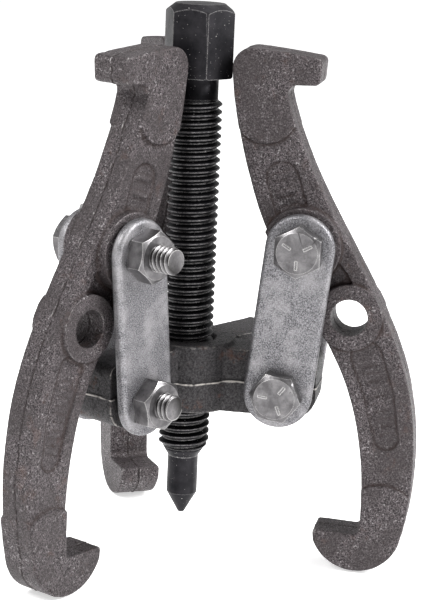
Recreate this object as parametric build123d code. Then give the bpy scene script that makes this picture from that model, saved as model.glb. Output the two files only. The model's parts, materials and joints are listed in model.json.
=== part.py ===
"""Three-jaw gear puller with a four-eared yoke.

Millimetres, +Z up. The origin is the centre point (the tip) of the forcing screw at rest.
Jaws stand at JAW_AZIMUTHS around the screw, and the fourth ear of the yoke, which lets the
same yoke carry two opposite jaws, is empty. Each jaw set is drawn along +X and then turned
about Z. In a jaw set the bolt heads are on the -Y side and the nuts on the +Y side.
"""

import math
import os

from build123d import *

# ---------------------------------------------------------------- driving dimensions
JAW_AZIMUTHS = {"a": -90.0, "b": 30.0, "c": 150.0}
SPARE_EAR_AZIMUTH = 90.0

# forcing screw, half inch with 13 threads per inch
SCREW_RADIUS = 6.25
THREAD_DEPTH = 1.12
THREAD_BOTTOM_Z = 17.6
THREAD_TOP_Z = 104.0
NECK_RADIUS = 5.1
HEX_BOTTOM_Z = 110.3
HEX_TOP_Z = 127.9
HEX_ACROSS_FLATS = 15.0
HEX_TOP_FACE_RADIUS = 6.0
HEX_CHAMFER_HEIGHT = 2.1
HEX_BASE_CHAMFER = 0.4
HEX_TURN = 24.7
NOSE_RADIUS = 3.8
NOSE_TOP_Z = 15.4
CONE_TOP_Z = 5.7
POINT_RADIUS = 0.8
POINT_HEIGHT = 0.3

# yoke
HUB_RADIUS = 12.2
YOKE_BOTTOM_Z = 29.0
ARM_TOP_Z = 45.2
COLLAR_TOP_Z = 46.3
PARTING_Z = 36.8
PARTING_STEP = 0.3
HUB_CHAMFER = 0.5
EAR_THICKNESS = 12.4
EAR_END_R = 33.6
EAR_LOWER_CORNER = 5.5
EAR_UPPER_CORNER = 3.0
SCREW_BORE_RADIUS = 6.32
BORE_CHAMFER = 0.9
CUT_OVERRUN = 1.0

# pivots of one jaw set, as (outward, up) from the screw point
LOWER_PIVOT = (24.5, 35.7)
LINK_SPACING = 36.2
LINK_LEAN = 5.85
JAW_LEAN = 2.0

# link plates
LINK_WIDTH = 16.8
LINK_THICKNESS = 3.0
LINK_INNER_OFFSET = 7.2
LINK_EDGE_ROUND = 1.2

# pivot bolts and nuts, quarter inch
BOLT_RADIUS = 3.175
BOLT_HOLE_RADIUS = 3.25
BOLT_ACROSS_FLATS = 11.0
HEAD_HEIGHT = 4.2
HEAD_CHAMFER = (1.4, 0.9)
NUT_THICKNESS = 4.6
NUT_SEAT_CHAMFER = (0.7, 0.4)
NUT_FACE_CHAMFER = (1.2, 0.7)
UPPER_PROTRUSION = 5.4
LOWER_PROTRUSION = 3.4
BOLT_END_CHAMFER = 0.6
SIDE_PLAY = 0.05
TICK_COUNT = 3
TICK_CENTRE = 2.9
TICK_LENGTH = 2.2
TICK_WIDTH = 0.6
TICK_HEIGHT = 0.25
# how far each head is turned: the first upper one, the next sets, the lower bolts and the nuts
FIRST_TURN = 12.0
SET_TURN = 17.0
LOWER_TURN = 23.0
NUT_TURN = 8.0

# jaws
ARM_THICKNESS = 9.2
PAD_THICKNESS = 10.8
BOSS_THICKNESS = 14.0
SPARE_BOSS_THICKNESS = 11.2
UPPER_BOSS_RADIUS = 9.6
SPARE_BOSS_RADIUS = 8.2
SPARE_HOLE_RADIUS = 4.35
SPARE_HOLE = (12.8, -16.2)
EDGE_ROUND = 0.6

# corners of a jaw's side view, as (outward, up) from its upper pivot
HEEL = (30.2, -72.0)
HOOK_TIP_BASE = (8.8, -73.6)
HOOK_TIP = (8.4, -70.6)
THROAT = (19.8, -70.6)
CROWN = (-21.0, 46.6)
UPPER_HOOK_TOP = (1.2, 45.2)
UPPER_HOOK_TIP = (1.0, 38.6)
UPPER_THROAT = (-7.0, 38.0)
CORNER_RADII = {
    HEEL: 3.0,
    HOOK_TIP_BASE: 1.5,
    HOOK_TIP: 0.9,
    THROAT: 1.6,
    CROWN: 5.0,
    UPPER_HOOK_TOP: 1.5,
    UPPER_HOOK_TIP: 1.5,
    UPPER_THROAT: 2.0,
}
# points its curved sides pass through
OUTER_EDGE = ((4.5, 12.4), (18.0, -9.2), (27.7, -28.8), (31.6, -47.4))
HEEL_MIDDLE = (18.4, -80.3)
INNER_EDGE = ((19.2, -56.0), (12.8, -32.2), (-7.9, 0.4), (-16.3, 21.0))
TOP_MIDDLE = (-9.0, 46.1)

# thicker pads: everything above or below a line, with a round tongue of (x, y, radius)
PAD_REACH = 60.0
UPPER_PAD_BOTTOM = 28.4
UPPER_TONGUE = (-11.6, 31.6, 7.9)
LOWER_PAD_TOP = -65.0
LOWER_TONGUE = (25.0, -67.4, 10.0)

# recesses, each the outline around (x, y, radius) circles
UPPER_PANEL = ((-6.3, 15.9, 4.1), (-3.0, 7.0, 4.1))
LOWER_PANEL = ((17.8, -25.4, 4.0), (21.7, -34.9, 3.8), (24.4, -45.5, 3.1))
POCKET = ((4.0, -5.1, 5.2), (9.5, -12.0, 5.2))
PANEL_DEPTH = 0.6
POCKET_DEPTH = 1.3

# raised bars in the panels: count, centre of the first, step to the next, length and tilt
UPPER_BARS = (3, (-6.6, 16.2), (1.4, -3.8), 4.6, 20.0)
LOWER_BARS = (5, (19.4, -28.6), (1.1, -3.7), 3.8, 18.0)
BAR_WIDTH = 1.0
BAR_HEIGHT = 0.4
BAR_ROOT = 0.1

LINK_OUTER_OFFSET = LINK_INNER_OFFSET + LINK_THICKNESS
UPPER_PIVOT = (
    LOWER_PIVOT[0] + LINK_SPACING * math.sin(math.radians(LINK_LEAN)),
    LOWER_PIVOT[1] + LINK_SPACING * math.cos(math.radians(LINK_LEAN)),
)


# ---------------------------------------------------------------- helpers
def hexagon_prism(across_flats, height):
    """A hexagonal prism standing on z = 0."""
    return extrude(RegularPolygon(across_flats / 2, 6, major_radius=False), height)


def turned(points):
    """A solid of revolution about Z from (radius, z) points."""
    return revolve(make_face(Polyline(*[(r, 0, z) for r, z in points], close=True)), Axis.Z)


def across(shape):
    """Lay a solid that stands on +Z along +Y, the direction of the pivot bolts."""
    return Rot(X=-90) * shape


def bore_y(radius, length, x, z):
    """A cylinder along Y, centred on y = 0."""
    return Pos(x, 0, z) * across(Cylinder(radius, length))


# ---------------------------------------------------------------- forcing screw
def screw_nose():
    """The plain nose below the thread, with its conical point."""
    return turned(
        [
            (0, 0),
            (POINT_RADIUS, POINT_HEIGHT),
            (NOSE_RADIUS, CONE_TOP_Z),
            (NOSE_RADIUS, NOSE_TOP_Z),
            (0, NOSE_TOP_Z),
        ]
    )


def forcing_screw():
    """Threaded shank, neck and hexagonal drive head. The shank has the thread's outside diameter."""
    root = SCREW_RADIUS - THREAD_DEPTH
    shank = turned(
        [
            (0, NOSE_TOP_Z),
            (NOSE_RADIUS, NOSE_TOP_Z),
            (root, THREAD_BOTTOM_Z),
            (SCREW_RADIUS, THREAD_BOTTOM_Z + THREAD_DEPTH),
            (SCREW_RADIUS, THREAD_TOP_Z),
            (NECK_RADIUS, THREAD_TOP_Z + THREAD_DEPTH),
            (NECK_RADIUS, HEX_BOTTOM_Z),
            (0, HEX_BOTTOM_Z),
        ]
    )
    corner = HEX_ACROSS_FLATS / math.sqrt(3)
    blank = turned(
        [
            (0, HEX_BOTTOM_Z),
            (corner - HEX_BASE_CHAMFER, HEX_BOTTOM_Z),
            (corner, HEX_BOTTOM_Z + HEX_BASE_CHAMFER),
            (corner, HEX_TOP_Z - HEX_CHAMFER_HEIGHT),
            (HEX_TOP_FACE_RADIUS, HEX_TOP_Z),
            (0, HEX_TOP_Z),
        ]
    )
    prism = Pos(0, 0, HEX_BOTTOM_Z) * Rot(Z=HEX_TURN) * hexagon_prism(
        HEX_ACROSS_FLATS, HEX_TOP_Z - HEX_BOTTOM_Z
    )
    return shank + (blank & prism)


# ---------------------------------------------------------------- yoke
def ear():
    """One arm along +X. The half above the parting line is slightly narrower than the half below it."""
    height = ARM_TOP_Z - YOKE_BOTTOM_Z
    side = Pos(EAR_END_R / 2, YOKE_BOTTOM_Z + height / 2) * Rectangle(EAR_END_R, height)
    outer = side.vertices().group_by(Axis.X)[-1].sort_by(Axis.Y)
    side = fillet(outer[0], EAR_LOWER_CORNER)
    upper = side.vertices().sort_by_distance(Vector(EAR_END_R, ARM_TOP_Z))[0]
    side = fillet(upper, EAR_UPPER_CORNER)
    arm = extrude(Plane.XZ * side, EAR_THICKNESS / 2, both=True)
    step = Box(2 * (EAR_END_R + CUT_OVERRUN), 2 * PARTING_STEP, 2 * (ARM_TOP_Z - PARTING_Z))
    for flank in (-1, 1):
        arm -= Pos(0, flank * EAR_THICKNESS / 2, ARM_TOP_Z) * step
    return arm


def yoke():
    """Central hub with its collar and four ears, bored for the screw and the lower pivots."""
    collar_radius = HUB_RADIUS - PARTING_STEP / 2
    hub = turned(
        [
            (0, YOKE_BOTTOM_Z),
            (HUB_RADIUS - HUB_CHAMFER, YOKE_BOTTOM_Z),
            (HUB_RADIUS, YOKE_BOTTOM_Z + HUB_CHAMFER),
            (HUB_RADIUS, PARTING_Z),
            (collar_radius, PARTING_Z),
            (collar_radius, COLLAR_TOP_Z - HUB_CHAMFER),
            (collar_radius - HUB_CHAMFER, COLLAR_TOP_Z),
            (0, COLLAR_TOP_Z),
        ]
    )
    body = hub
    for azimuth in [*JAW_AZIMUTHS.values(), SPARE_EAR_AZIMUTH]:
        body += Rot(Z=azimuth) * ear()
    mouth_radius = SCREW_BORE_RADIUS + BORE_CHAMFER + CUT_OVERRUN
    bore = turned(
        [
            (0, YOKE_BOTTOM_Z - CUT_OVERRUN),
            (mouth_radius, YOKE_BOTTOM_Z - CUT_OVERRUN),
            (SCREW_BORE_RADIUS, YOKE_BOTTOM_Z + BORE_CHAMFER),
            (SCREW_BORE_RADIUS, COLLAR_TOP_Z - BORE_CHAMFER),
            (mouth_radius, COLLAR_TOP_Z + CUT_OVERRUN),
            (0, COLLAR_TOP_Z + CUT_OVERRUN),
        ]
    )
    body -= bore
    for azimuth in [*JAW_AZIMUTHS.values(), SPARE_EAR_AZIMUTH]:
        body -= Rot(Z=azimuth) * bore_y(BOLT_HOLE_RADIUS, 2 * EAR_THICKNESS, *LOWER_PIVOT)
    return body


# ---------------------------------------------------------------- links, bolts and nuts
def link_plate(side):
    """One stadium-shaped plate, on the -Y side (side = -1) or the +Y side (side = 1)."""
    outline = SlotCenterToCenter(LINK_SPACING, LINK_WIDTH)
    plate = extrude(outline, LINK_THICKNESS)
    plate = fillet(plate.edges().filter_by(Axis.Z, reverse=True), LINK_EDGE_ROUND)
    for end in (-1, 1):
        plate -= Pos(end * LINK_SPACING / 2, 0, 0) * Cylinder(BOLT_HOLE_RADIUS, 4 * LINK_THICKNESS)
    offset = LINK_INNER_OFFSET if side > 0 else -LINK_OUTER_OFFSET
    middle_x = (LOWER_PIVOT[0] + UPPER_PIVOT[0]) / 2
    middle_z = (LOWER_PIVOT[1] + UPPER_PIVOT[1]) / 2
    standing = across(Rot(Z=90) * plate)
    return Pos(middle_x, offset, middle_z) * Rot(Y=LINK_LEAN) * standing


def pivot_bolt(pivot, turn, protrusion):
    """A hexagon-head bolt along +Y, its head on the -Y side of the link plates."""
    corner = BOLT_ACROSS_FLATS / math.sqrt(3)
    head_base = LINK_OUTER_OFFSET + SIDE_PLAY
    chamfer_width, chamfer_height = HEAD_CHAMFER
    head_blank = turned(
        [
            (0, 0),
            (corner, 0),
            (corner, HEAD_HEIGHT - chamfer_height),
            (corner - chamfer_width, HEAD_HEIGHT),
            (0, HEAD_HEIGHT),
        ]
    )
    head = head_blank & hexagon_prism(BOLT_ACROSS_FLATS, HEAD_HEIGHT)
    tick = Pos(TICK_CENTRE, 0, HEAD_HEIGHT) * Box(TICK_LENGTH, TICK_WIDTH, 2 * TICK_HEIGHT)
    for mark in range(TICK_COUNT):
        head += Rot(Z=360 / TICK_COUNT * mark) * tick
    length = head_base + LINK_OUTER_OFFSET + NUT_THICKNESS + protrusion
    shank = turned(
        [
            (0, 0),
            (BOLT_RADIUS, 0),
            (BOLT_RADIUS, length - BOLT_END_CHAMFER),
            (BOLT_RADIUS - BOLT_END_CHAMFER, length),
            (0, length),
        ]
    )
    bolt = Rot(X=180) * Rot(Z=turn) * head + shank
    return Pos(pivot[0], -head_base, pivot[1]) * across(bolt)


def pivot_nut(pivot, turn):
    """A plain hexagon nut on the +Y side of the link plates."""
    corner = BOLT_ACROSS_FLATS / math.sqrt(3)
    seat_width, seat_height = NUT_SEAT_CHAMFER
    face_width, face_height = NUT_FACE_CHAMFER
    blank = turned(
        [
            (BOLT_RADIUS, 0),
            (corner - seat_width, 0),
            (corner, seat_height),
            (corner, NUT_THICKNESS - face_height),
            (corner - face_width, NUT_THICKNESS),
            (BOLT_RADIUS, NUT_THICKNESS),
        ]
    )
    nut = blank & (Rot(Z=turn) * hexagon_prism(BOLT_ACROSS_FLATS, NUT_THICKNESS))
    return Pos(pivot[0], LINK_OUTER_OFFSET + SIDE_PLAY, pivot[1]) * across(nut)


# ---------------------------------------------------------------- jaw
def jaw_outline():
    """The jaw's side view about its upper pivot: outward hook above, inward hook below."""
    outer_edge = Spline(UPPER_THROAT, *OUTER_EDGE, HEEL)
    heel = ThreePointArc(HEEL, HEEL_MIDDLE, HOOK_TIP_BASE)
    hook = Polyline(HOOK_TIP_BASE, HOOK_TIP, THROAT)
    inner_edge = Spline(THROAT, *INNER_EDGE, CROWN)
    top = ThreePointArc(CROWN, TOP_MIDDLE, UPPER_HOOK_TOP)
    upper_hook = Polyline(UPPER_HOOK_TOP, UPPER_HOOK_TIP, UPPER_THROAT)
    face = make_face(Curve() + [outer_edge, heel, hook, inner_edge, top, upper_hook])
    for (x, y), radius in CORNER_RADII.items():
        corner = face.vertices().sort_by_distance(Vector(x, y, 0))[0]
        face = fillet(corner, radius)
    return face


def pad_region(tongue, edge, direction):
    """The region on one side of a level edge (direction 1 is above it), with a round tongue."""
    x, y, radius = tongue
    half_plane = Pos(x, edge + direction * PAD_REACH / 2) * Rectangle(PAD_REACH, PAD_REACH)
    return Pos(x, y) * Circle(radius) + half_plane


def hull_of(circles):
    """The rounded outline that runs around each (x, y, radius) circle and the next."""
    outline = Sketch()
    for pair in zip(circles, circles[1:]):
        sketch = Sketch() + [Pos(x, y) * Circle(radius) for x, y, radius in pair]
        outline += make_hull(sketch.edges())
    return outline


def bars(count, first, step, length, tilt):
    """A row of plain bars down a panel."""
    bar = Rot(Z=tilt) * Rectangle(length, BAR_WIDTH)
    return [Pos(first[0] + step[0] * i, first[1] + step[1] * i) * bar for i in range(count)]


def slab(face, thickness):
    """Extrude a side-view face evenly to both sides of the jaw's middle plane."""
    return extrude(Plane.XZ * face, thickness / 2, both=True)


def both_sides(face, inner, outer):
    """Two matching layers of a side-view face, between two distances from the middle plane."""
    layer = extrude(Plane.XZ.offset(inner) * face, outer - inner)
    return layer + mirror(layer, Plane.XZ)


def rounded(solid, radius):
    """Round the edges that lie in the two side faces of a slab."""
    faces = solid.faces().sort_by(Axis.Y)
    return fillet(faces[0].edges() + faces[-1].edges(), radius)


def jaw():
    """One jaw, drawn about its upper pivot and then set in place along +X."""
    outline = jaw_outline()
    thick = rounded(slab(outline, PAD_THICKNESS), EDGE_ROUND)
    body = rounded(slab(outline, ARM_THICKNESS), EDGE_ROUND)
    body += thick & slab(pad_region(UPPER_TONGUE, UPPER_PAD_BOTTOM, 1), PAD_THICKNESS)
    body += thick & slab(pad_region(LOWER_TONGUE, LOWER_PAD_TOP, -1), PAD_THICKNESS)
    pivot_boss = Circle(UPPER_BOSS_RADIUS) & outline
    spare_boss = Pos(*SPARE_HOLE) * Circle(SPARE_BOSS_RADIUS) & outline
    half_arm = ARM_THICKNESS / 2
    floor = half_arm - PANEL_DEPTH
    body -= both_sides(hull_of(UPPER_PANEL), floor, PAD_THICKNESS)
    body -= both_sides(hull_of(LOWER_PANEL), floor, PAD_THICKNESS)
    body -= both_sides(hull_of(POCKET), half_arm - POCKET_DEPTH, PAD_THICKNESS)
    body += slab(pivot_boss, BOSS_THICKNESS)
    body += slab(spare_boss, SPARE_BOSS_THICKNESS)
    for bar in [*bars(*UPPER_BARS), *bars(*LOWER_BARS)]:
        body += both_sides(bar, floor - BAR_ROOT, floor + BAR_HEIGHT)
    body -= bore_y(BOLT_HOLE_RADIUS, 2 * BOSS_THICKNESS, 0, 0)
    body -= bore_y(SPARE_HOLE_RADIUS, 2 * BOSS_THICKNESS, *SPARE_HOLE)
    return Pos(UPPER_PIVOT[0], 0, UPPER_PIVOT[1]) * Rot(Y=JAW_LEAN) * body


# ---------------------------------------------------------------- assembly
def build():
    """Every piece of the tool by name, at rest."""
    nodes = {"yoke": yoke(), "forcing_screw": forcing_screw(), "screw_nose": screw_nose()}
    jaw_blank = jaw()
    for index, (letter, azimuth) in enumerate(JAW_AZIMUTHS.items()):
        turn = FIRST_TURN + SET_TURN * index
        lower_turn = turn + LOWER_TURN
        around = Rot(Z=azimuth)
        nodes[f"jaw_{letter}"] = around * jaw_blank
        nodes[f"link_head_side_{letter}"] = around * link_plate(-1)
        nodes[f"link_nut_side_{letter}"] = around * link_plate(1)
        nodes[f"upper_bolt_{letter}"] = around * pivot_bolt(UPPER_PIVOT, turn, UPPER_PROTRUSION)
        nodes[f"upper_nut_{letter}"] = around * pivot_nut(UPPER_PIVOT, turn + NUT_TURN)
        nodes[f"lower_bolt_{letter}"] = around * pivot_bolt(LOWER_PIVOT, lower_turn, LOWER_PROTRUSION)
        nodes[f"lower_nut_{letter}"] = around * pivot_nut(LOWER_PIVOT, lower_turn + NUT_TURN)
    return nodes


os.makedirs("parts", exist_ok=True)
for name, shape in build().items():
    shape.label = name
    export_step(shape, f"parts/{name}.step")
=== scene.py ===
"""Looks for the three-jaw gear puller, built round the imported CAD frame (metres, +Z up the screw)."""

import json
import math

import bmesh
import bpy
import numpy as np
from mathutils import Matrix, Vector, noise


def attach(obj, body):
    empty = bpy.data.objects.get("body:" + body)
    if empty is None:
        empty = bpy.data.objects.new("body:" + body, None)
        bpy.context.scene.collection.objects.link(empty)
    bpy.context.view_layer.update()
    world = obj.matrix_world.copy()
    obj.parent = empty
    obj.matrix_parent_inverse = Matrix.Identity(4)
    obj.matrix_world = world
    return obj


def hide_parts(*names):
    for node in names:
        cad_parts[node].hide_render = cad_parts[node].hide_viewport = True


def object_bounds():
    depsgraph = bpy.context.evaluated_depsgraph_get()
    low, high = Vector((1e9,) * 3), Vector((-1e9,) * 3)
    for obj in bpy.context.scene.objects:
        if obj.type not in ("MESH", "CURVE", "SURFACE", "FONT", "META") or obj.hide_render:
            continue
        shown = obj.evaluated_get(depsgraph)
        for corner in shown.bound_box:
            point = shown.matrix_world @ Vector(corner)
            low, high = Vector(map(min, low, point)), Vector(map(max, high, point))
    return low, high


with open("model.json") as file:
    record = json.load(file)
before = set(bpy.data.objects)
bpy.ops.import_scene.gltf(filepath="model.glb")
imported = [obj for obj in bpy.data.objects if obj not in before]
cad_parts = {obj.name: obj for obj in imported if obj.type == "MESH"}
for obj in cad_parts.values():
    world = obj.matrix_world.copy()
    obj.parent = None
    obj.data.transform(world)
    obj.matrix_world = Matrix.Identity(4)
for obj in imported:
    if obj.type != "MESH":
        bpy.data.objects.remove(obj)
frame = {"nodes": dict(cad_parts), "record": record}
CAD_LOW, CAD_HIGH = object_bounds()

MM = 0.001
JOINTS = {joint["name"]: joint for joint in frame["record"]["behaviour"]["joints"]}
LETTERS = ("a", "b", "c")

# camera
VIEW_AZIMUTH = 130.4
VIEW_ELEVATION = 12.96
VIEW_ROLL = 2.42
VIEW_DISTANCE = 481.4 * MM
VIEW_TARGET = Vector((4.32, 3.67, 55.27)) * MM
LENS = 116.9
SENSOR = 36.0
NEAREST = 0.01

# studio lights: name, azimuth from the camera's side, elevation (degrees), distance, size (m), power (W)
LIGHTS = (
    ("left", -60, 45, 0.9, 0.4, 6.0),
    ("right", 78, 35, 0.9, 0.5, 11.0),
    ("top", 160, 70, 0.9, 0.6, 2.0),
)
# the even light from all round, and the brightness of the backdrop and the floor
ROOM_LIGHT = 0.5
BACKDROP_LIGHT = 1.0
FLOOR_GLOW = 0.55
FLOOR_SIZE = 6.0
FLOOR_GAP = 0.3 * MM
FLOOR_WHITE = (0.93, 0.93, 0.93)
FLOOR_ROUGHNESS = 0.9

# forcing screw and bolt threads
SCREW_PITCH = 25.4 / 13 * MM
SCREW_CREST = 6.25 * MM
SCREW_ROOT = 5.13 * MM
SCREW_NECK = 5.1 * MM
THREAD_BOTTOM = 17.6 * MM
THREAD_TOP = 105.12 * MM
BOLT_PITCH = 25.4 / 20 * MM
BOLT_CREST = 3.175 * MM
BOLT_ROOT = 2.5 * MM
BOLT_THREAD_START = 14.0 * MM
BOLT_THREAD_END = {"upper": 20.2 * MM, "lower": 18.2 * MM}
BOLT_CHAMFER = 0.4 * MM
SCREW_SEGMENTS = 128
BOLT_SEGMENTS = 64
# heights of one thread ridge, at even steps of the pitch
RIDGE = (1.0, 1.0, 0.68, 0.34, 0.04, 0.04, 0.34, 0.68)
SHARP_ROWS = (0, 1, 4, 5)
FLAT_FACE = 1e-9
JOIN_DISTANCE = 0.0005 * MM
TRIM_JOIN_DISTANCE = 0.001 * MM

# casting meshes and their mould seams. Seam marks stay out of the yoke's bore
CAST_VOXEL = 0.3 * MM
CAST_SMOOTHING = 2
WEAR_PASSES = 3
PARTING_Z = 36.8 * MM
BORE_CLEAR = 8 * MM
SEAM_WIDTH = 0.36 * MM
SEAM_GRAIN = 1.1 * MM
SEAM_RAGGEDNESS = 1.1
GROOVE_FLOOR = 0.2

# the castings' skins. Swells are (size, depth in mm), and pits are (size, threshold, depth in mm), fewer
# at a higher threshold. A seam's fullness of 0.5 leaves about half its length bare, and 1 hardly any.
# A seam runs where the normal leans on the jaw's hinge axis by less than JAW_NARROW_FACE, or on Z by
# less than YOKE_UPRIGHT_FACE
JAW_SWELLS = ((7 * MM, 0.08), (2.2 * MM, 0.04))
JAW_PITS = (1.1 * MM, 0.42, 0.4)
JAW_SETBACK = 0.14
JAW_SEAM = {"fullness": 0.5, "wave": 8 * MM, "wander": 0.7 * MM, "ridge": 0.26, "groove": 0.3}
JAW_NARROW_FACE = 0.4
YOKE_SWELLS = ((5 * MM, 0.1), (1.6 * MM, 0.08))
YOKE_PITS = (0.9 * MM, 0.35, 0.4)
YOKE_SETBACK = 0.2
YOKE_SEAM = {"fullness": 0.85, "wave": 6 * MM, "wander": 0.35 * MM, "ridge": 0.42, "groove": 0.12}
YOKE_UPRIGHT_FACE = 0.6

# linear colours
JAW_PIT = (0.01, 0.007, 0.008)
JAW_SKIN = (0.125, 0.107, 0.112)
JAW_GLINT = (0.34, 0.32, 0.325)
JAW_CLOUD = (0.038, 0.031, 0.032)
JAW_RUST = (0.085, 0.042, 0.03)
JAW_HOLLOW = (0.022, 0.012, 0.01)
JAW_RUBBED = (0.62, 0.6, 0.59)
# painted shade in the groove beside the jaws' mould seam
JAW_GROOVE_SHADE = (0.008, 0.005, 0.005)
JAW_RIDGE = (0.45, 0.43, 0.42)
YOKE_PIT = (0.009, 0.008, 0.009)
YOKE_SKIN = (0.062, 0.057, 0.06)
YOKE_RUST = (0.1, 0.038, 0.02)
YOKE_CHIP = (0.5, 0.47, 0.44)
# painted shade in the groove beside the yoke's mould seam
YOKE_GROOVE_SHADE = (0.004, 0.004, 0.004)
OXIDE_DARK = (0.01, 0.01, 0.012)
OXIDE_LIGHT = (0.036, 0.034, 0.038)
# painted shade in the screw thread's grooves and flanks
OXIDE_GROOVE_SHADE = (0.003, 0.003, 0.004)
OXIDE_CREST = (0.07, 0.067, 0.07)
OXIDE_FLECK = (0.6, 0.58, 0.57)
OXIDE_SCUFF = (0.34, 0.33, 0.33)
PLATE_DARK = (0.06, 0.058, 0.063)
PLATE_LIGHT = (0.3, 0.295, 0.31)
PLATE_CLOUD = (0.36, 0.35, 0.36)
# plate edges: rubbing plus a painted highlight
PLATE_RUBBED_AND_HIGHLIGHT = (0.36, 0.355, 0.35)
ZINC_DARK = (0.09, 0.086, 0.09)
ZINC_LIGHT = (0.22, 0.213, 0.218)
ZINC_GRAIN = (0.085, 0.08, 0.076)
# bolt and nut corners: rubbing plus a painted highlight
ZINC_RUBBED_AND_HIGHLIGHT = (0.58, 0.57, 0.56)
# painted shade in the bolt threads
ZINC_GROOVE_SHADE = (0.01, 0.009, 0.008)


# ---------------------------------------------------------------- mesh helpers
def add_object(name, mesh):
    piece = bpy.data.objects.new(name, mesh)
    bpy.context.scene.collection.objects.link(piece)
    return piece


def coordinates(mesh):
    values = np.empty(len(mesh.vertices) * 3, dtype=np.float32)
    mesh.vertices.foreach_get("co", values)
    return values.reshape(-1, 3)


def normals(mesh):
    values = np.empty(len(mesh.vertices) * 3, dtype=np.float32)
    mesh.vertex_normals.foreach_get("vector", values)
    return values.reshape(-1, 3)


def edge_pairs(mesh):
    values = np.empty(len(mesh.edges) * 2, dtype=np.int32)
    mesh.edges.foreach_get("vertices", values)
    return values.reshape(-1, 2)


def neighbour_mean(values, pairs):
    """Each vertex's mean of its neighbours' values."""
    total = np.zeros_like(values)
    count = np.zeros(len(values), dtype=np.float32)
    for one, other in ((0, 1), (1, 0)):
        np.add.at(total, pairs[:, one], values[pairs[:, other]])
        np.add.at(count, pairs[:, one], 1.0)
    count = np.maximum(count, 1.0)
    return total / (count[:, None] if values.ndim == 2 else count)


def write_attribute(mesh, name, values):
    layer = mesh.attributes.new(name, "FLOAT", "POINT")
    layer.data.foreach_set("value", values.astype(np.float32))


def mark_wear(mesh):
    """Stores how far each vertex stands out from its neighbours: above 0 on edges, below in hollows."""
    points = coordinates(mesh)
    pairs = edge_pairs(mesh)
    standing = -((neighbour_mean(points, pairs) - points) * normals(mesh)).sum(axis=1) / CAST_VOXEL
    for _ in range(WEAR_PASSES):
        standing = (standing + neighbour_mean(standing, pairs)) / 2
    write_attribute(mesh, "wear", standing)


def cast_copy(node):
    """A dense, evenly meshed copy of a CAD node, with its sharp steps softened as in a casting."""
    piece = add_object(node + "_cast", frame["nodes"][node].data.copy())
    remesh = piece.modifiers.new("remesh", "REMESH")
    remesh.mode = "VOXEL"
    remesh.voxel_size = CAST_VOXEL
    smooth = piece.modifiers.new("smooth", "SMOOTH")
    smooth.factor = 0.5
    smooth.iterations = CAST_SMOOTHING
    shaped = piece.evaluated_get(bpy.context.evaluated_depsgraph_get())
    piece.data = bpy.data.meshes.new_from_object(shaped)
    piece.modifiers.clear()
    return piece


def displace(piece, height):
    """Moves each vertex along its normal by height(point, normal), which also marks the mould seam."""
    mesh = piece.data
    points = coordinates(mesh)
    directions = normals(mesh)
    pairs = [height(Vector(p), Vector(n)) for p, n in zip(points.tolist(), directions.tolist())]
    shift, seam = np.array(pairs).T
    mesh.vertices.foreach_set("co", (points + directions * shift[:, None]).astype(np.float32).ravel())
    mesh.update()
    mesh.polygons.foreach_set("use_smooth", [True] * len(mesh.polygons))
    write_attribute(mesh, "seam", seam)


def trimmed_copy(node, cuts):
    """A copy of a CAD node's mesh, cut by (point, normal) planes that drop the normal's side."""
    mesh = frame["nodes"][node].data.copy()
    work = bmesh.new()
    work.from_mesh(mesh)
    bmesh.ops.remove_doubles(work, verts=work.verts, dist=TRIM_JOIN_DISTANCE)
    for point, normal in cuts:
        geometry = work.verts[:] + work.edges[:] + work.faces[:]
        bmesh.ops.bisect_plane(work, geom=geometry, plane_co=point, plane_no=normal, clear_outer=True)
        rim = [edge for edge in work.edges if edge.is_boundary]
        bmesh.ops.contextual_create(work, geom=rim)
    work.to_mesh(mesh)
    work.free()
    return mesh


def thread_mesh(name, low, high, pitch, crest, root, envelope, segments):
    """A right-handed thread along Z whose rows follow the helix, closed flat at both ends."""
    rows_per_turn = len(RIDGE)
    first = math.floor(low / pitch) - 1
    turns = math.ceil(high / pitch) + 1 - first
    work = bmesh.new()
    height = work.verts.layers.float.new("wear")
    depth = work.verts.layers.float.new("groove")
    rows = []
    for row in range(turns * rows_per_turn):
        line = []
        for segment in range(segments):
            z = (first + row / rows_per_turn + segment / segments) * pitch
            z = min(max(z, low), high)
            ridge = RIDGE[row % rows_per_turn]
            radius = min(root + (crest - root) * ridge, envelope(z))
            angle = 2 * math.pi * segment / segments
            vertex = work.verts.new((radius * math.cos(angle), radius * math.sin(angle), z))
            vertex[height] = (radius - root) / (crest - root)
            vertex[depth] = 1 - ridge
            line.append(vertex)
        rows.append(line)
    for row in range(len(rows) - rows_per_turn - 1):
        for segment in range(segments):
            last = segment == segments - 1
            near = rows[row], rows[row + 1]
            far = (rows[row + rows_per_turn], rows[row + rows_per_turn + 1]) if last else near
            after = 0 if last else segment + 1
            corners = (near[0][segment], far[0][after], far[1][after], near[1][segment])
            if max(c.co.z for c in corners) - min(c.co.z for c in corners) < FLAT_FACE:
                continue
            face = work.faces.new(corners)
            face.smooth = True
            if row % rows_per_turn in SHARP_ROWS:
                work.edges.get(corners[:2]).smooth = False
    bmesh.ops.remove_doubles(work, verts=work.verts, dist=JOIN_DISTANCE)
    loose = [vertex for vertex in work.verts if not vertex.link_faces]
    bmesh.ops.delete(work, geom=loose, context="VERTS")
    rims = [edge for edge in work.edges if edge.is_boundary]
    for edge in rims:
        edge.smooth = False
    for cap in bmesh.ops.holes_fill(work, edges=rims)["faces"]:
        cap.smooth = False
    bmesh.ops.recalc_face_normals(work, faces=work.faces)
    mesh = bpy.data.meshes.new(name)
    work.to_mesh(mesh)
    work.free()
    return mesh


def joined(name, meshes):
    """One mesh out of several closed shells."""
    work = bmesh.new()
    for mesh in meshes:
        work.from_mesh(mesh)
    result = bpy.data.meshes.new(name)
    work.to_mesh(result)
    work.free()
    return result


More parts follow.
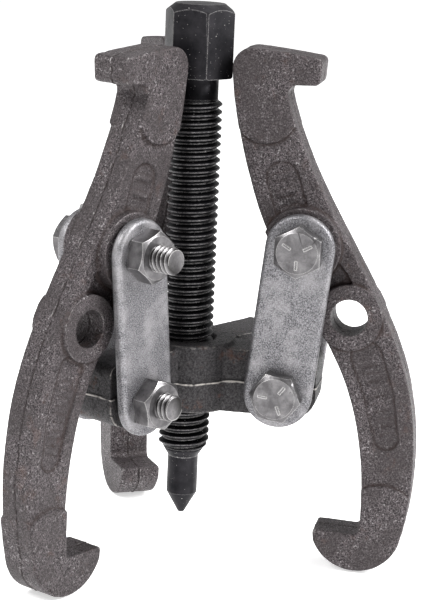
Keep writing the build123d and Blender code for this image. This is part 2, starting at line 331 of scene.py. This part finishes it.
# ---------------------------------------------------------------- material helpers
class Shader:
    """A new material with a Principled shader, and short calls for the nodes that feed it."""

    def __init__(self, name):
        self.material = bpy.data.materials.new(name)
        self.material.use_nodes = True
        self.tree = self.material.node_tree
        self.surface = self.tree.nodes["Principled BSDF"]
        self.place = self.tree.nodes.new("ShaderNodeTexCoord").outputs["Object"]

    def set(self, socket, value):
        if isinstance(value, bpy.types.NodeSocket):
            self.tree.links.new(value, self.surface.inputs[socket])
        else:
            self.surface.inputs[socket].default_value = value

    def noise(self, size, detail=4.0, rough=0.6):
        """Noise whose features are about size millimetres across."""
        node = self.tree.nodes.new("ShaderNodeTexNoise")
        node.inputs["Scale"].default_value = 1.0 / (size * MM)
        node.inputs["Detail"].default_value = detail
        node.inputs["Roughness"].default_value = rough
        self.tree.links.new(self.place, node.inputs["Vector"])
        return node.outputs["Fac"]

    def cells(self, size):
        node = self.tree.nodes.new("ShaderNodeTexVoronoi")
        node.inputs["Scale"].default_value = 1.0 / (size * MM)
        self.tree.links.new(self.place, node.inputs["Vector"])
        return node.outputs["Distance"]

    def between(self, value, low, high, out_low=0.0, out_high=1.0):
        """Value mapped from low..high to out_low..out_high and clamped."""
        node = self.tree.nodes.new("ShaderNodeMapRange")
        self.tree.links.new(value, node.inputs["Value"])
        limits = {"From Min": low, "From Max": high, "To Min": out_low, "To Max": out_high}
        for socket, number in limits.items():
            node.inputs[socket].default_value = number
        return node.outputs["Result"]

    def math(self, operation, one, other):
        node = self.tree.nodes.new("ShaderNodeMath")
        node.operation = operation
        node.use_clamp = True
        for index, value in enumerate((one, other)):
            if isinstance(value, bpy.types.NodeSocket):
                self.tree.links.new(value, node.inputs[index])
            else:
                node.inputs[index].default_value = value
        return node.outputs[0]

    def mix(self, factor, one, other):
        node = self.tree.nodes.new("ShaderNodeMix")
        node.data_type = "RGBA"
        self.tree.links.new(factor, node.inputs["Factor"])
        for socket, value in (("A", one), ("B", other)):
            target = [item for item in node.inputs if item.name == socket and item.type == "RGBA"][0]
            if isinstance(value, bpy.types.NodeSocket):
                self.tree.links.new(value, target)
            else:
                target.default_value = (*value, 1.0)
        return [item for item in node.outputs if item.type == "RGBA"][0]

    def attribute(self, name):
        node = self.tree.nodes.new("ShaderNodeAttribute")
        node.attribute_name = name
        return node.outputs["Fac"]

    def edge_mask(self, radius):
        """1 near the crisp edges of a CAD mesh, and 0 on its faces."""
        bevel = self.tree.nodes.new("ShaderNodeBevel")
        bevel.samples = 6
        bevel.inputs["Radius"].default_value = radius * MM
        geometry = self.tree.nodes.new("ShaderNodeNewGeometry")
        dot = self.tree.nodes.new("ShaderNodeVectorMath")
        dot.operation = "DOT_PRODUCT"
        self.tree.links.new(bevel.outputs["Normal"], dot.inputs[0])
        self.tree.links.new(geometry.outputs["Normal"], dot.inputs[1])
        return self.between(dot.outputs["Value"], 0.995, 0.9)

    def bump(self, *layers):
        """Stacks (height, strength, depth in millimetres) bumps on the surface's normal."""
        normal = None
        for height, strength, depth in layers:
            node = self.tree.nodes.new("ShaderNodeBump")
            node.inputs["Strength"].default_value = strength
            node.inputs["Distance"].default_value = depth * MM
            self.tree.links.new(height, node.inputs["Height"])
            if normal:
                self.tree.links.new(normal, node.inputs["Normal"])
            normal = node.outputs["Normal"]
        self.set("Normal", normal)


# ---------------------------------------------------------------- materials
def jaw_steel():
    """Bare cast steel: dark speckled grey-brown, rusty in the hollows, rubbed bright on the arrises, with
    painted shade in the seam grooves.
    """
    shader = Shader("jaw_casting")
    speckle = shader.noise(0.36, detail=3.0, rough=0.8)
    glints = shader.noise(0.55, detail=2.0, rough=0.6)
    patches = shader.noise(9.0, detail=5.0)
    stains = shader.noise(5.0, detail=6.0, rough=0.7)
    chips = shader.noise(1.3, detail=5.0, rough=0.7)
    wear = shader.attribute("wear")
    seam = shader.attribute("seam")

    grain = shader.between(speckle, 0.44, 0.58)
    glinting = shader.between(glints, 0.6, 0.68, 0.0, 0.75)
    clouded = shader.between(patches, 0.42, 0.6, 0.0, 0.65)
    rusty = shader.between(stains, 0.58, 0.74, 0.0, 0.5)
    hollow = shader.between(wear, -0.015, -0.1, 0.0, 0.85)
    chipped = shader.between(chips, 0.42, 0.58, 0.1, 1.0)
    rubbed = shader.math("MULTIPLY", shader.between(wear, 0.07, 0.15), chipped)
    # painted shade: the seam's groove darkened
    groove_shade = shader.between(seam, 0.0, -1.0, 0.0, 0.95)
    on_ridge = shader.between(seam, 0.45, 1.0, 0.0, 0.85)

    base = shader.mix(grain, JAW_PIT, JAW_SKIN)
    base = shader.mix(glinting, base, JAW_GLINT)
    base = shader.mix(clouded, base, JAW_CLOUD)
    base = shader.mix(rusty, base, JAW_RUST)
    base = shader.mix(hollow, base, JAW_HOLLOW)
    base = shader.mix(rubbed, base, JAW_RUBBED)
    base = shader.mix(groove_shade, base, JAW_GROOVE_SHADE)
    base = shader.mix(on_ridge, base, JAW_RIDGE)
    shader.set("Base Color", base)
    shader.set("Metallic", 0.5)
    shader.set("Roughness", shader.between(speckle, 0.35, 0.65, 0.62, 0.4))
    shader.bump((patches, 0.2, 0.6), (shader.cells(0.5), 0.4, 0.12), (speckle, 0.9, 0.2))
    return shader.material


def yoke_casting():
    """Nearly black sand casting, chipped bright along the collar, the ears' arrises and the mould line, with
    painted shade in the seam groove.
    """
    shader = Shader("yoke_casting")
    grain = shader.noise(0.5, detail=5.0, rough=0.75)
    lumps = shader.noise(1.3, detail=4.0)
    rust = shader.noise(5.0, detail=6.0, rough=0.65)
    wear = shader.attribute("wear")
    seam = shader.attribute("seam")

    rusty = shader.between(rust, 0.6, 0.72, 0.0, 0.6)
    chipped = shader.between(lumps, 0.38, 0.52)
    rubbed = shader.math("MULTIPLY", shader.between(wear, 0.04, 0.12), chipped)
    on_ridge = shader.between(seam, 0.1, 0.6, 0.0, 0.9)
    # painted shade: the seam's groove darkened
    groove_shade = shader.between(seam, 0.0, -1.0, 0.0, 0.9)

    base = shader.mix(shader.between(grain, 0.4, 0.64), YOKE_PIT, YOKE_SKIN)
    base = shader.mix(rusty, base, YOKE_RUST)
    base = shader.mix(rubbed, base, YOKE_CHIP)
    base = shader.mix(on_ridge, base, YOKE_CHIP)
    base = shader.mix(groove_shade, base, YOKE_GROOVE_SHADE)
    shader.set("Base Color", base)
    shader.set("Metallic", 0.35)
    shader.set("Roughness", shader.between(grain, 0.35, 0.65, 0.68, 0.42))
    shader.bump((lumps, 0.4, 0.45), (grain, 0.9, 0.24))
    return shader.material


def black_oxide():
    """Oiled black oxide, with faintly rubbed thread crests, white flecks, scuffed hexagon corners and painted
    shade in the thread grooves.
    """
    shader = Shader("black_screw")
    grain = shader.noise(0.6, detail=5.0)
    flecks = shader.noise(0.5, detail=2.0, rough=0.5)
    patches = shader.noise(6.0, detail=5.0)
    wear = shader.attribute("wear")
    groove = shader.attribute("groove")

    # painted shade: the thread's grooves and flanks darkened
    groove_shade = shader.between(groove, 0.1, 0.6, 0.0, 1.0)
    crest_grain = shader.between(grain, 0.42, 0.66, 0.02, 0.4)
    on_crest = shader.math("MULTIPLY", shader.between(wear, 0.9, 1.0), crest_grain)
    flecked = shader.between(flecks, 0.71, 0.75, 0.0, 0.9)
    corner_grain = shader.between(grain, 0.35, 0.6, 0.2, 1.0)
    scuffed = shader.math("MULTIPLY", shader.edge_mask(0.35), corner_grain)

    base = shader.mix(shader.between(patches, 0.35, 0.7), OXIDE_DARK, OXIDE_LIGHT)
    base = shader.mix(groove_shade, base, OXIDE_GROOVE_SHADE)
    base = shader.mix(on_crest, base, OXIDE_CREST)
    base = shader.mix(flecked, base, OXIDE_FLECK)
    base = shader.mix(scuffed, base, OXIDE_SCUFF)
    shader.set("Base Color", base)
    shader.set("Metallic", 0.7)
    shader.set("Specular IOR Level", 0.2)
    shader.set("Roughness", shader.between(patches, 0.3, 0.7, 0.5, 0.36))
    shader.bump((patches, 0.1, 0.2), (grain, 0.3, 0.06))
    return shader.material


def link_steel():
    """Tumbled plate: speckled mid grey with paler clouds, and edges made brighter by rubbing plus a painted
    highlight.
    """
    shader = Shader("link_steel")
    speckle = shader.noise(0.3, detail=3.0, rough=0.75)
    patches = shader.noise(6.0, detail=5.0)

    clouded = shader.between(patches, 0.46, 0.66, 0.0, 0.6)
    # edges brightened by rubbing plus a painted highlight
    rubbed = shader.between(shader.edge_mask(0.6), 0.0, 1.0, 0.0, 0.55)

    base = shader.mix(shader.between(speckle, 0.4, 0.62), PLATE_DARK, PLATE_LIGHT)
    base = shader.mix(clouded, base, PLATE_CLOUD)
    base = shader.mix(rubbed, base, PLATE_RUBBED_AND_HIGHLIGHT)
    shader.set("Base Color", base)
    shader.set("Metallic", 0.7)
    shader.set("Roughness", shader.between(speckle, 0.35, 0.65, 0.52, 0.34))
    shader.bump((patches, 0.15, 0.3), (shader.cells(0.45), 0.35, 0.08), (speckle, 0.65, 0.12))
    return shader.material


def zinc_steel():
    """Zinc-plated fasteners: mid grey, grained, brighter on the corners from rubbing plus a painted
    highlight, and with painted shade in the threads.
    """
    shader = Shader("zinc_steel")
    grain = shader.noise(0.5, detail=5.0, rough=0.65)
    patches = shader.noise(3.0, detail=4.0)

    grained = shader.between(grain, 0.52, 0.7, 0.0, 0.6)
    # corners brightened by rubbing plus a painted highlight
    rubbed = shader.between(shader.edge_mask(0.3), 0.0, 1.0, 0.0, 0.85)
    # painted shade: the thread grooves darkened
    groove_shade = shader.between(shader.attribute("groove"), 0.3, 1.0, 0.0, 0.95)

    base = shader.mix(shader.between(patches, 0.35, 0.7), ZINC_DARK, ZINC_LIGHT)
    base = shader.mix(grained, base, ZINC_GRAIN)
    base = shader.mix(rubbed, base, ZINC_RUBBED_AND_HIGHLIGHT)
    base = shader.mix(groove_shade, base, ZINC_GROOVE_SHADE)
    shader.set("Base Color", base)
    shader.set("Metallic", 0.85)
    shader.set("Roughness", shader.between(grain, 0.3, 0.7, 0.44, 0.27))
    shader.bump((patches, 0.1, 0.25), (grain, 0.3, 0.06))
    return shader.material


def give(piece, material):
    piece.data.materials.clear()
    piece.data.materials.append(material)


# ---------------------------------------------------------------- pieces
def seam_profile(offset, point, fullness):
    """Ridge and groove of a ragged mould seam at a distance across it. The groove runs beside the ridge."""
    ragged = max(fullness + noise.noise(point / SEAM_GRAIN) * SEAM_RAGGEDNESS, 0.0)
    depth = min(max(ragged + GROOVE_FLOOR, 0.0), 1.0)
    ridge = max(1 - abs(offset) / SEAM_WIDTH, 0.0) * ragged
    groove = max(1 - abs(offset - SEAM_WIDTH) / SEAM_WIDTH, 0.0) * depth
    return ridge, groove


def skin_height(point, swells, pits, setback):
    """A casting's skin as swells and scattered pits, in millimetres over the CAD face (below 0 is inside)."""
    size, cut, depth = pits
    swell = sum(noise.noise(point / swell_size) * swell_depth for swell_size, swell_depth in swells)
    return swell + min(noise.noise(point / size) + cut, 0.0) * depth - setback


def with_seam(value, offset, point, seam):
    """A skin height with a wandering seam added, and its mark: above 0 on the ridge, below in the groove."""
    wander = noise.noise(point / seam["wave"]) * seam["wander"]
    ridge, groove = seam_profile(offset - wander, point, seam["fullness"])
    return value + (seam["ridge"] * ridge - seam["groove"] * groove), ridge - groove


def jaw_height(along):
    """Casting unevenness of a jaw, with a ragged seam down the middle of its narrow faces."""

    def height(point, normal):
        value = skin_height(point, JAW_SWELLS, JAW_PITS, JAW_SETBACK)
        seam = 0.0
        if abs(normal.dot(along)) < JAW_NARROW_FACE:
            value, seam = with_seam(value, point.dot(along), point, JAW_SEAM)
        return min(value, 0.0) * MM, seam

    return height


def yoke_height(point, normal):
    """Sand-cast unevenness of the yoke, with the seam between the two mould halves."""
    value = skin_height(point, YOKE_SWELLS, YOKE_PITS, YOKE_SETBACK)
    seam = 0.0
    if abs(normal.z) < YOKE_UPRIGHT_FACE and Vector(point.xy).length > BORE_CLEAR:
        value, seam = with_seam(value, point.z - PARTING_Z, point, YOKE_SEAM)
    return min(value, 0.0) * MM, seam


def make_casting(node, height, material):
    """Stands a cast-skinned copy in for a CAD node."""
    piece = cast_copy(node)
    displace(piece, height)
    mark_wear(piece.data)
    give(piece, material)
    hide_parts(node)
    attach(piece, node)


def make_screw(material):
    """The CAD screw's head, neck and shoulder, with a real thread between them."""

    def envelope(z):
        return min(SCREW_ROOT + z - THREAD_BOTTOM, SCREW_NECK + THREAD_TOP - z)

    up = Vector((0, 0, 1))
    head = trimmed_copy("forcing_screw", [(up * THREAD_TOP, -up)])
    shoulder = trimmed_copy("forcing_screw", [(up * THREAD_BOTTOM, up)])
    thread = thread_mesh(
        "thread", THREAD_BOTTOM, THREAD_TOP, SCREW_PITCH, SCREW_CREST, SCREW_ROOT, envelope, SCREW_SEGMENTS
    )
    piece = add_object("forcing_screw_threaded", joined("forcing_screw_threaded", [head, shoulder, thread]))
    give(piece, material)
    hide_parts("forcing_screw")
    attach(piece, "screw")


def make_bolt(level, letter, material):
    """The CAD bolt with a real thread on the end that stands out of its nut."""
    joint = JOINTS[("jaw_swing_" if level == "upper" else "link_swing_") + letter]
    pivot = Vector(joint["pos_m"])
    along = Vector(joint["axis"]).normalized()
    node = f"{level}_bolt_{letter}"
    end = BOLT_THREAD_END[level]
    plain = trimmed_copy(node, [(pivot + along * BOLT_THREAD_START, along)])

    def envelope(z):
        return BOLT_CREST - BOLT_CHAMFER + end - z

    thread = thread_mesh(
        "thread", BOLT_THREAD_START, end, BOLT_PITCH, BOLT_CREST, BOLT_ROOT, envelope, BOLT_SEGMENTS
    )
    up = Vector((0, 0, 1))
    turn = Matrix((up, along.cross(up), along)).transposed().to_4x4()
    thread.transform(Matrix.Translation(pivot) @ turn)
    piece = add_object(node + "_threaded", joined(node + "_threaded", [plain, thread]))
    give(piece, material)
    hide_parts(node)
    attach(piece, "link_" + letter)


def make_pieces():
    jaw_material = jaw_steel()
    for letter in LETTERS:
        along = Vector(JOINTS["jaw_swing_" + letter]["axis"])
        make_casting("jaw_" + letter, jaw_height(along), jaw_material)
    make_casting("yoke", yoke_height, yoke_casting())
    screw_material = black_oxide()
    make_screw(screw_material)
    give(frame["nodes"]["screw_nose"], screw_material)
    plate_material = link_steel()
    fastener_material = zinc_steel()
    for letter in LETTERS:
        for side in ("head", "nut"):
            give(frame["nodes"][f"link_{side}_side_{letter}"], plate_material)
        for level in ("upper", "lower"):
            make_bolt(level, letter, fastener_material)
            give(frame["nodes"][f"{level}_nut_{letter}"], fastener_material)


# ---------------------------------------------------------------- stage
def make_floor():
    bpy.ops.mesh.primitive_plane_add(size=FLOOR_SIZE, location=(0, 0, CAD_LOW.z - FLOOR_GAP))
    floor = bpy.context.object
    floor.name = "floor"
    material = bpy.data.materials.new("floor")
    material.use_nodes = True
    surface = material.node_tree.nodes["Principled BSDF"]
    surface.inputs["Base Color"].default_value = (*FLOOR_WHITE, 1)
    surface.inputs["Roughness"].default_value = FLOOR_ROUGHNESS
    surface.inputs["Emission Color"].default_value = (1, 1, 1, 1)
    surface.inputs["Emission Strength"].default_value = FLOOR_GLOW
    floor.data.materials.append(material)


def add_light(name, azimuth, elevation, distance, size, power):
    """An area light that faces the object, at an azimuth counted from the camera's side."""
    a = math.radians(VIEW_AZIMUTH + 180 + azimuth)
    e = math.radians(elevation)
    away = Vector((math.cos(a) * math.cos(e), math.sin(a) * math.cos(e), math.sin(e)))
    data = bpy.data.lights.new(name, "AREA")
    data.shape = "DISK"
    data.size = size
    data.energy = power
    light = add_object(name, data)
    light.location = VIEW_TARGET + away * distance
    light.rotation_mode = "QUATERNION"
    light.rotation_quaternion = away.to_track_quat("Z", "Y")


def make_lights():
    """Three area lights, and a white world that lights the object less than it lights the backdrop."""
    for light in LIGHTS:
        add_light(*light)
    world = bpy.data.worlds.new("studio")
    world.use_nodes = True
    background = world.node_tree.nodes["Background"]
    background.inputs["Color"].default_value = (1, 1, 1, 1)
    ray = world.node_tree.nodes.new("ShaderNodeLightPath")
    strength = world.node_tree.nodes.new("ShaderNodeMapRange")
    strength.inputs["To Min"].default_value = ROOM_LIGHT
    strength.inputs["To Max"].default_value = BACKDROP_LIGHT
    world.node_tree.links.new(ray.outputs["Is Camera Ray"], strength.inputs["Value"])
    world.node_tree.links.new(strength.outputs["Result"], background.inputs["Strength"])
    bpy.context.scene.world = world


def make_camera():
    data = bpy.data.cameras.new("camera")
    data.lens = LENS
    data.sensor_width = SENSOR
    data.clip_start = NEAREST
    camera = add_object("camera", data)
    a = math.radians(VIEW_AZIMUTH)
    e = math.radians(VIEW_ELEVATION)
    forward = Vector((math.cos(a) * math.cos(e), math.sin(a) * math.cos(e), -math.sin(e)))
    right = forward.cross(Vector((0, 0, 1))).normalized()
    up = right.cross(forward)
    roll = Matrix.Rotation(-math.radians(VIEW_ROLL), 3, forward)
    axes = Matrix((roll @ right, roll @ up, -forward)).transposed()
    camera.matrix_world = Matrix.Translation(VIEW_TARGET - forward * VIEW_DISTANCE) @ axes.to_4x4()
    bpy.context.scene.camera = camera


make_camera()
make_lights()
make_floor()
make_pieces()
bpy.context.scene.view_settings.view_transform = "Standard"
